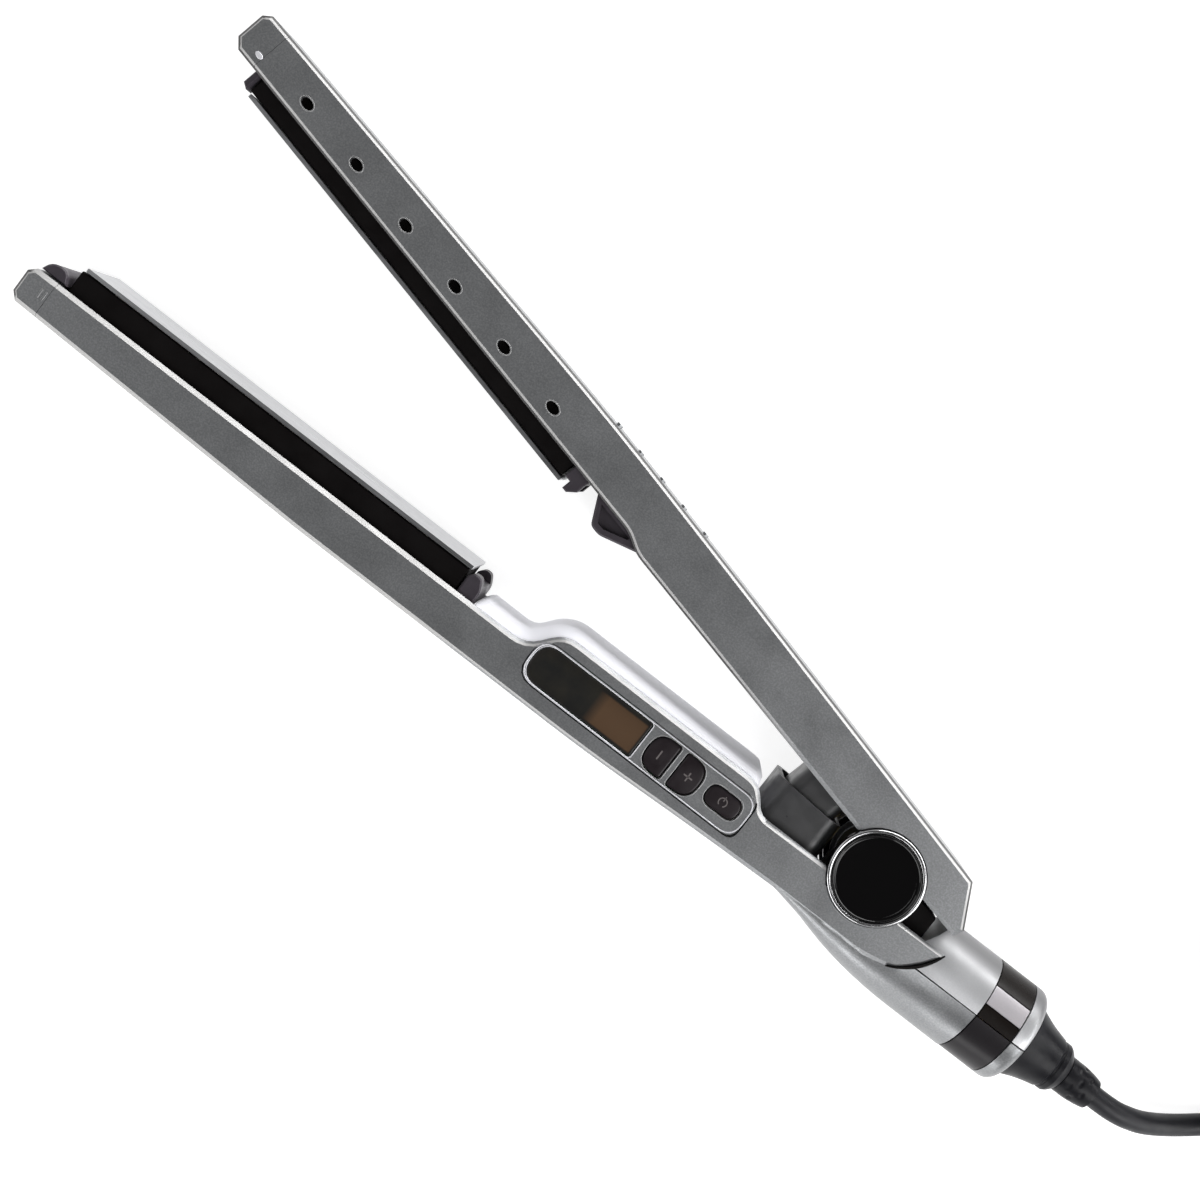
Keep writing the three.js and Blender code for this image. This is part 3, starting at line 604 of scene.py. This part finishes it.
def make_rim(name, outline_at, inner, outer, level, slot="silver_cover", body="lower_arm"):
    """A fine raised bead round an opening, between two distances outside an outline."""
    middle, half = (inner + outer) / 2, (outer - inner) / 2
    profile = [(inner, level - 0.5), (outer, level - 0.5)]
    profile += [
        (middle + half * math.cos(a), level + 0.6 * half * math.sin(a)) for a in arc_angles(0, 180, 6)]
    mesh = swept_outline(name, outline_at, profile, capped=False)
    soften(add_piece(name, mesh, slot, body), angle=50)


def make_window():
    shape = box_outline(WINDOW_LOW, WINDOW_HIGH, 4.6, 0.8)
    profile = rounded_top(WINDOW_LOW.z / MM, WINDOW_HIGH.z / MM, 0.3)
    mesh = swept_outline("display_window", shape, profile)
    soften(add_piece("display_window", mesh, "display_lens", "lower_arm", "display_lens"))
    make_rim("display_rim", shape, 0.2, 0.42, PANEL_FACE)


def bar(centre, length, width, turn=0.0):
    """A small round-ended bar's outline in millimetres."""
    points = []
    for end in (1, -1):
        for k in range(9):
            angle = math.radians(-90 + 22.5 * k) + (0 if end > 0 else math.pi)
            points.append(Vector((
                end * (length - width) / 2 + width / 2 * math.cos(angle), width / 2 * math.sin(angle))))
    turned = Matrix.Rotation(math.radians(turn), 2)
    return [turned @ point + centre for point in points]


def arc_band(centre, radius, width, start, end):
    """A curved band's outline in millimetres, between two angles in degrees."""
    points = []
    for size, order in ((radius + width / 2, range(25)), (radius - width / 2, range(24, -1, -1))):
        for k in order:
            angle = math.radians(start + (end - start) * k / 24)
            points.append(centre + Vector((size * math.cos(angle), size * math.sin(angle))))
    return points


def make_key(name, left, right, signs):
    low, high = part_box(name)
    skirt = Vector((KEY_SKIRT, KEY_SKIRT, 0))
    low, high = low + skirt, high - skirt
    shape = box_outline(low, high, left, right)
    key = name.replace("_button", "_key")
    crowned = rounded_top(low.z / MM, high.z / MM, 0.6)
    mesh = swept_outline(key, shape, crowned)
    soften(add_piece(key, mesh, "button_black", name, name), angle=50)
    # The grey_casing paint puts a painted highlight on this bead's slopes
    make_rim(key + "_rim", shape, 0.25, 0.5, PANEL_FACE, "grey_casing")
    centre = ((low + high) / 2 / MM).xy
    for number, drawn in enumerate(signs(centre)):
        sign = f"{key}_sign_{number + 1}"
        mesh = prism_mesh(sign, drawn, high.z - 0.1 * MM, high.z + 0.03 * MM)
        finishes["sign_print"].paint(add_piece(sign, mesh, "button_black", name))


def make_panel_edge():
    low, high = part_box("control_bezel")
    make_rim("panel_rim", box_outline(low, high, 5, 4.4), -0.4, -0.05, PANEL_FACE)


def make_controls():
    make_window()
    make_panel_edge()
    make_key("minus_button", 4.4, 0.8, lambda centre: [bar(centre, 2.6, 0.4, 90)])
    make_key("plus_button", 0.8, 4.4, lambda centre: [bar(centre, 2.6, 0.4), bar(centre, 2.6, 0.4, 90)])
    make_key("power_button", 2.7, 2.7, lambda centre: [
        arc_band(centre, 1.1, 0.3, -60, 240), bar(centre + Vector((0, 0.95)), 1.4, 0.3, 90)])


# ---- Inner cover ----

# In millimetres: the cover's line along the arm, how far its middle stands over its sides, and its wall
COVER_PATH = ((-118.4, -7.6), (-102.6, -7.6, 4), (-96.3, 0.5, 4), (-37, 0.5, 2.4), (-33.6, -3.4))
COVER_CROWN = 2.8
COVER_WALL = 1.6
CROWN_SQUARENESS = 8  # the higher, the flatter the crown between its rounded sides
CROWN_FADE = 3  # length over which the crown rises or falls
CROWN_START = 0.3  # share of that rise that is over at the front edge
CROWN_BACK = 3  # length at the back that stays flat


def along_path(points, spacing):
    """Evenly spaced places along a line, each with its left-hand normal and its distance from either end."""
    lengths = [(b - a).length for a, b in zip(points, points[1:])]
    total = sum(lengths)
    stations = []
    count = round(total / spacing)
    for k in range(count + 1):
        travelled = total * k / count
        rest, i = travelled, 0
        while i < len(lengths) - 1 and rest > lengths[i]:
            rest -= lengths[i]
            i += 1
        step = points[i + 1] - points[i]
        normal = Vector((-step.y, step.x)).normalized()
        stations.append((points[i] + step * (rest / lengths[i]), normal, travelled, total - travelled))
    return stations


def make_inner_cover():
    """The crowned light cover over the electronics, in the gap between the casing's side walls."""
    low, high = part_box("lower_inner_cover")
    middle, half = (low.z + high.z) / 2 / MM, (high.z - low.z) / 2 / MM
    across = [math.sin(a) for a in arc_angles(-90, 90, 20)]
    points = []
    for place, normal, before, after in along_path(outline(COVER_PATH), 1.0):
        rise = eased(CROWN_START + before / CROWN_FADE)
        crown = COVER_CROWN * rise * eased((after - CROWN_BACK) / CROWN_FADE)
        top = [(place + normal * crown * (1 - abs(t) ** CROWN_SQUARENESS), t) for t in across]
        bottom = [(place - normal * COVER_WALL, t) for t in reversed(across)]
        points += [(point.x * MM, point.y * MM, (middle + half * t) * MM) for point, t in top + bottom]
    ring = 2 * len(across)
    mesh = mesh_of("crowned_inner_cover", points, ring_faces(len(points) // ring, ring, False))
    cover = add_piece("crowned_inner_cover", mesh, "silver_cover", "lower_arm", "lower_inner_cover")
    soften(cover, angle=60)


# ---- Pivot cap ----


def make_near_cap():
    """A gloss disc with a narrow raised rim, a little dished inside it."""
    low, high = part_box("near_pivot_cap")
    radius = (high.x - low.x) / 2 / MM
    base, top = low.z / MM, high.z / MM
    bead = 0.3
    rim = [
        (radius - bead + bead * math.cos(a), top - bead + bead * math.sin(a)) for a in arc_angles(0, 165, 9)]
    dish = [(radius - 1.1, top - 0.42), (radius - 1.35, top - 0.36), (radius - 1.7, top - 0.38),
            (radius - 3, top - 0.46), (radius * 0.4, top - 0.52), (0, top - 0.54)]
    mesh = turned_mesh("near_cap_disc", [(0, base), (radius, base), *rim, *dish], on_hinge, segments=128)
    soften(add_piece("near_cap_disc", mesh, "gloss_black", "lower_arm", "near_pivot_cap"), angle=60)


def make_cap_ring(node, name, up):
    """A bright ring with a rounded crown; up is the side that shows."""
    low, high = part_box(node)
    outer = (high.x - low.x) / 2 / MM
    inner = outer - 1.05
    middle, half = (inner + outer) / 2, (outer - inner) / 2
    shown, hidden = (high.z / MM, low.z / MM) if up > 0 else (low.z / MM, high.z / MM)
    crown = [
        (middle + half * math.cos(a), shown - up * half * (1 - math.sin(a))) for a in arc_angles(0, 180, 12)]
    mesh = turned_mesh(name, [(inner, hidden), (outer, hidden), *crown], on_hinge, segments=128)
    soften(add_piece(name, mesh, "chrome", "lower_arm", node), angle=50)


# ---- Small pieces on the arms ----


# The painted shadow crescent's two edges in millimetres, each by its first, middle and last point
SLASH_INNER = ((15.2, -15.6), (21.0, -11.1), (24.6, -5.3))
SLASH_OUTER = ((15.2, -15.8), (21.6, -11.4), (25.1, -4.9))


def make_shadow_slash():
    """A dark crescent piece painted as the shadow where the flat side face ends over the round tail."""
    points = []
    for edge in (SLASH_INNER, SLASH_OUTER[::-1]):
        first, middle, last = (Vector(point) for point in edge)
        points += [curved(first, middle * 2 - (first + last) / 2, last, k / 16) for k in range(17)]
    mesh = prism_mesh("tail_shadow_slash", points, ARM_DEPTH - 1.4 * MM, ARM_DEPTH - 0.02 * MM)
    soften(add_piece("tail_shadow_slash", mesh, "black_carrier", "lower_arm"))


def ellipse(centre, length, width):
    """An oval on the closed upper arm, turned to where it is at rest, as a function of how far it grows."""
    turned = Matrix.Rotation(-OPEN_ANGLE, 2)

    def grown(margin):
        return [
            turned @ (centre + Vector(((length + margin) * math.cos(a), (width + margin) * math.sin(a))))
            for a in arc_angles(0, 360, 28)[:-1]
        ]
    return grown


# In millimetres, those on the upper arm as with the arms closed
VENTS = 6
VENT_PITCH = 18.8
VENT_REACH = (2, 1.3)
FIRST_VENT = Vector((-232.2, 10.5))
LOWER_CATCHES = (Vector((-248.6, -12)), Vector((-247.3, -12)))
UPPER_CATCH = Vector((-248.4, 8.8))
UPPER_CATCH_REACH = (1.2, 0.7)


def make_vent_rims():
    for number in range(VENTS):
        shape = ellipse(FIRST_VENT + Vector((VENT_PITCH * number, 0)), *VENT_REACH)
        # The grey_casing paint puts a painted highlight on each bead's slopes
        make_rim(f"vent_rim_{number + 1}", shape, 0.0, 0.3, ARM_DEPTH / MM, "grey_casing", "upper_arm")


def make_tip_catches():
    """A small latch catch moulded on each tip."""
    foot = ARM_DEPTH - 0.3 * MM
    for number, centre in enumerate(LOWER_CATCHES):
        name = f"lower_tip_catch_{number + 1}"
        mesh = prism_mesh(name, bar(centre, 2.6, 0.6, 90), foot, ARM_DEPTH + 0.15 * MM)
        soften(add_piece(name, mesh, "grey_casing", "lower_arm"), 0.12 * MM)
    shape = ellipse(UPPER_CATCH, *UPPER_CATCH_REACH)
    top = ARM_DEPTH / MM
    mesh = swept_outline("upper_tip_catch", shape, rounded_top(top - 0.3, top + 0.25, 0.25))
    soften(add_piece("upper_tip_catch", mesh, "silver_cover", "upper_arm"), angle=60)


# ---- Tail ----


def make_collar(node, name, slot, start, end):
    """Half of the ring that ends the tail, between two angles round it."""
    low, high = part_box(node)
    first, last = low.x / MM, high.x / MM
    wide, narrow, bore = 13.4, 10.9, 9.5
    shoulder = first + 1.9
    rounding = [
        (narrow + (wide - narrow) * math.cos(a), shoulder + (last - shoulder) * math.sin(a))
        for a in arc_angles(15, 75, 5)]
    profile = [(bore, first), (wide, first), (wide, shoulder), *rounding, (narrow, last), (bore, last)]
    mesh = turned_mesh(name, profile, on_tail, start, end, 48)
    soften(add_piece(name, mesh, slot, "lower_arm", node), 0.12 * MM, 2, 40)


def make_gland():
    """The cone that the lead leaves through, a little hollow along its side, with a groove near its end."""
    low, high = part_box("cord_gland")
    first, last = low.x / MM, high.x / MM
    shares = (0, 0.2, 0.4, 0.6, 0.8, 1)
    cone = [(10.3 - 3.2 * t - 0.35 * math.sin(math.pi * t), 56.5 + 9.4 * t) for t in shares]
    groove = [(6.8, 66.2), (6.6, 66.4), (6.6, 66.8), (6.8, 67)]
    profile = [(3.5, first), (9.1, first), (9.1, 56.3), (10.1, 56.3), *cone, *groove,
               (6.8, 68.2), (6.3, 69), (5.4, last - 0.2), (5.2, last), (3.5, last)]
    mesh = turned_mesh("cord_gland_cone", profile, on_tail, segments=96)
    soften(add_piece("cord_gland_cone", mesh, "gland_black", "lower_arm", "cord_gland"), angle=28)


BOOT_START = 70.4  # where the strain relief comes out of the gland
BOOT_RADIUS, BOOT_TAPER, RIB_DEPTH = 4.95, 0.9, 0.42
RIBS = 6


def make_boot():
    """The strain relief, with slanting ribs that let it flex."""
    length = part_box("cord_boot")[1].x / MM - BOOT_START
    points = []
    around, along = 72, 40
    for k in range(along + 1):
        share = k / along
        x = BOOT_START + length * share
        for i in range(around):
            angle = 2 * math.pi * i / around
            fade = math.sin(math.pi * min(1, max(0, (share - 0.12) / 0.7)))
            twist = share * 14
            ribs = max(0, math.sin(RIBS * angle + twist)) * max(0, math.sin(RIBS * angle - twist))
            radius = (BOOT_RADIUS - BOOT_TAPER * share ** 3 - RIB_DEPTH * fade * ribs) * MM
            points.append(on_tail(radius * math.sin(angle), radius * math.cos(angle), x * MM))
    mesh = mesh_of("cord_boot_ribbed", points, ring_faces(along + 1, around, False))
    soften(add_piece("cord_boot_ribbed", mesh, "gland_black", "cord_swivel", "cord_boot"), angle=60)


# ---- Opening spring ----


def make_spring():
    """The coil that holds the arms open, wound along the Y axis. The real one is squashed along it as the
    arms close; this one keeps its length.
    """
    low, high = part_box("opening_spring")
    seat = Vector((-22.3, -13.3, 16)) * MM
    head = Vector((-20.6, 10.6, 16)) * MM
    wire = 0.45 * MM
    radius = (high.z - low.z) / 2 - wire
    turns, steps = 7, 48
    curve = bpy.data.curves.new("opening_spring_coil", "CURVE")
    curve.dimensions = "3D"
    curve.bevel_depth = wire
    curve.bevel_resolution = 4
    curve.use_fill_caps = True
    spline = curve.splines.new("POLY")
    spline.points.add(turns * steps)
    for i, point in enumerate(spline.points):
        t = i / (turns * steps)
        angle = 2 * math.pi * turns * t
        outwards = Vector((radius * math.cos(angle), 0, radius * math.sin(angle)))
        place = seat.lerp(head, 0.02 + 0.96 * t) + outwards
        point.co = (*place, 1)
    drawn = bpy.data.objects.new("opening_spring_wire", curve)
    mesh = bpy.data.meshes.new_from_object(drawn)
    bpy.data.objects.remove(drawn)
    spring = soften(add_piece("opening_spring_coil", mesh, "steel", "lower_arm", "opening_spring"))
    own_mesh(spring)


# ---- Mains lead ----

CORD_DIAMETER = 5.8 * MM
COIL_CENTRE = Vector((124.3, 58.3, 0)) * MM
COIL_RADII = [radius * MM for radius in (39.8, 34.0, 28.2)]
COIL_START = -52.2  # degrees round the coil where the lead runs into it
COIL_FLOOR = 4.0 * MM  # height of the cord's middle in the lowest layer
COIL_LAYERS = 4
TOP_TURN = 130  # degrees that the outermost top turn runs before it rises to the plug
LEAD_ROUTE = [  # in millimetres, from the strain relief down to the coil
    (79.7, -12, 16), (83.7, -12, 15.8), (87.7, -11.8, 15.1), (91.6, -11.2, 13.7), (95.5, -10.3, 11.7),
    (99.3, -9, 9.2), (103, -7.4, 6.8), (106.5, -5.5, 4.9), (110.7, -2.6, 3.5), (115.4, 1, 2.95),
    (120.9, 5.3, 2.95), (125.7, 9, 3.1), (132, 13.9, 3.5), (140.2, 20.2, 3.85), (148.7, 26.8, 4),
]


def coil_point(degrees, radius, height):
    angle = math.radians(degrees)
    return COIL_CENTRE + Vector((radius * math.cos(angle), radius * math.sin(angle), height))


class Coil:
    """Winds the cord in layers. Each turn keeps its radius and steps over near the turn's end."""

    step = 84  # degrees over which the cord steps to the next turn or layer

    def __init__(self):
        self.points = []
        self.angle = COIL_START
        self.height = COIL_FLOOR

    def hold(self, degrees, radius):
        pieces = max(1, round(degrees / 15))
        for _ in range(pieces):
            self.angle += degrees / pieces
            self.points.append(coil_point(self.angle, radius, self.height))

    def move(self, start, end, rise=0.0):
        pieces = 6
        base = self.height
        for i in range(1, pieces + 1):
            share = eased(i / pieces)
            self.angle += self.step / pieces
            self.height = base + rise * share
            radius = start + (end - start) * share
            self.points.append(coil_point(self.angle, radius, self.height))

    def layer(self, radii, first_turn):
        self.hold(first_turn, radii[0])
        self.move(radii[0], radii[1])
        self.hold(360 - self.step, radii[1])
        self.move(radii[1], radii[2])

    def wind(self):
        first_turn = 360 - self.step
        for number in range(COIL_LAYERS):
            radii = COIL_RADII if number % 2 == 0 else COIL_RADII[::-1]
            self.layer(radii, first_turn)
            if number < COIL_LAYERS - 1:
                self.hold(360 - 2 * self.step, radii[2])
                self.move(radii[2], radii[2], CORD_DIAMETER)
            first_turn = 360 - 2 * self.step


LEAD_BOW = 0.66  # how widely the lead swings round to the plug
PLUG_ANGLE = math.radians(115.7)  # round the coil
# In millimetres: from the coil's centre out to the plug's axis, back along it to the lead's end, and up
PLUG_OUTWARDS, PLUG_BACK, PLUG_HEIGHT = 19, 14.6, 33.1


def lead_out(start, start_direction, end, end_direction):
    """From the top of the coil up and over to the plug."""
    count = 9
    reach = (end - start).length
    points = []
    for i in range(1, count + 1):
        t = i / count
        a = (1 - t) ** 3 * start + 3 * t * (1 - t) ** 2 * (start + start_direction * reach * LEAD_BOW)
        b = 3 * t * t * (1 - t) * (end - end_direction * reach * LEAD_BOW) + t ** 3 * end
        points.append(a + b)
    return points


def make_cord():
    """The mains lead as one curve: down from the iron, round the coil and out to the plug."""
    coil = Coil()
    coil.wind()
    coil.hold(TOP_TURN, COIL_RADII[0])
    route = [Vector(point) * MM for point in LEAD_ROUTE] + coil.points
    angle = math.radians(coil.angle + 90)
    heading = Vector((-math.sin(PLUG_ANGLE), math.cos(PLUG_ANGLE), 0))
    outwards = Vector((math.cos(PLUG_ANGLE), math.sin(PLUG_ANGLE), 0))
    plug_end = COIL_CENTRE + outwards * PLUG_OUTWARDS * MM - heading * PLUG_BACK * MM
    plug_end.z = PLUG_HEIGHT * MM
    leaving = Vector((math.cos(angle), math.sin(angle), 0.1))
    route += lead_out(route[-1], leaving, plug_end, heading)
    curve = bpy.data.curves.new("mains_lead", "CURVE")
    curve.dimensions = "3D"
    curve.bevel_depth = CORD_DIAMETER / 2
    curve.bevel_resolution = 6
    curve.resolution_u = 6
    curve.use_fill_caps = True
    spline = curve.splines.new("BEZIER")
    spline.bezier_points.add(len(route) - 1)
    for point, place in zip(spline.bezier_points, route):
        point.co = place
        point.handle_left_type = "AUTO"
        point.handle_right_type = "AUTO"
    cord = bpy.data.objects.new("mains_lead", curve)
    bpy.context.collection.objects.link(cord)
    dress(cord, "cord_black")
    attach(cord, "lower_arm")
    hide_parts("cord_lead", "cord_coil")


# ---- Studio ----

FLOOR_REACH = 30.0
FLOOR_GLOW = 0.84
SKY_FADE = (0.15, 0.7, 0.45, 0.1)  # heights of the fade, then its strengths
HORIZON_FADE = (0.02, 0.34, 0.42, 0.0)  # a paler band just over the floor, added to it
LIGHT_TARGET = Vector((-0.08, 0, 0.01))
LIGHTS = (
    # name, place in metres, size, power in watts
    ("top_right", (0.78, -0.1, 0.85), (0.6, 0.9), 8.0),
    ("top_left", (-0.95, -0.2, 0.75), (0.5, 0.8), 1.3),
    ("back_low", (0.15, 1.0, 0.2), (1.7, 0.3), 13.0),
    ("front_low", (-0.2, -1.0, 0.3), (1.4, 0.3), 6.0),
    ("right_low", (1.0, 0.3, 0.2), (1.0, 0.3), 3.5),
)


def make_stage():
    """A wide pale floor with a glow of its own, so that shadows stay faint."""
    corners = [(x * FLOOR_REACH, y * FLOOR_REACH, 0) for x, y in ((-1, -1), (1, -1), (1, 1), (-1, 1))]
    mesh = mesh_of("floor", corners, [(0, 1, 2, 3)])
    floor = bpy.data.objects.new("floor", mesh)
    bpy.context.collection.objects.link(floor)
    made = Finish("floor_paper", (0.5, 0.5, 0.5), 0.85, specular=0.1)
    made.rough(made.noise(0.2, 2), 0.8, 0.9)
    made.glow(FLOOR_GLOW)
    floor.data.materials.append(made.material)
    floor.location.z = cad_low.z - 0.05 * MM


def area_light(name, place, size, power):
    data = bpy.data.lights.new(name, "AREA")
    data.shape = "RECTANGLE"
    data.size, data.size_y = size
    data.energy = power
    light = bpy.data.objects.new(name, data)
    light.location = place
    light.rotation_mode = "QUATERNION"
    light.rotation_quaternion = (LIGHT_TARGET - Vector(place)).to_track_quat("-Z", "Y")
    bpy.context.collection.objects.link(light)


def make_sky():
    """Pale all round and darker overhead, so that polished faces keep their depth."""
    world = bpy.data.worlds.new("studio")
    bpy.context.scene.world = world
    world.use_nodes = True
    tree = world.node_tree
    background = tree.nodes["Background"]
    background.inputs["Color"].default_value = (1, 1, 1, 1)
    place = tree.nodes.new("ShaderNodeTexCoord")
    split = tree.nodes.new("ShaderNodeSeparateXYZ")
    fade = tree.nodes.new("ShaderNodeMapRange")
    tree.links.new(place.outputs["Generated"], split.inputs["Vector"])
    tree.links.new(split.outputs["Z"], fade.inputs["Value"])
    glow = tree.nodes.new("ShaderNodeMapRange")
    tree.links.new(split.outputs["Z"], glow.inputs["Value"])
    for node, numbers in ((fade, SKY_FADE), (glow, HORIZON_FADE)):
        for socket, value in zip(("From Min", "From Max", "To Min", "To Max"), numbers):
            node.inputs[socket].default_value = value
    both = tree.nodes.new("ShaderNodeMath")
    tree.links.new(fade.outputs["Result"], both.inputs[0])
    tree.links.new(glow.outputs["Result"], both.inputs[1])
    tree.links.new(both.outputs[0], background.inputs["Strength"])


def make_lights():
    make_sky()
    for name, place, size, power in LIGHTS:
        area_light(name, place, size, power)
    bpy.context.scene.view_settings.view_transform = "Standard"


# ---- Assembly ----

make_camera()
finishes = make_finishes()
make_cord()
make_controls()
make_near_cap()
make_cap_ring("near_cap_ring", "near_bright_ring", 1)
make_cap_ring("far_cap_ring", "far_bright_ring", -1)
make_shadow_slash()
make_tip_catches()
make_vent_rims()
make_inner_cover()
make_collar("end_collar_upper", "bright_collar", "silver_cover", 0.7, 179.3)
make_collar("end_collar_lower", "grey_collar", "grey_casing", 180.7, 359.3)
make_gland()
make_boot()
make_spring()
make_stage()
make_lights()

for name, node in nodes.items():
    dress(node, slot_of(name))
    if not node.hide_render:
        refine_node(node, ROUNDED_NODES.get(name, 0) * MM)
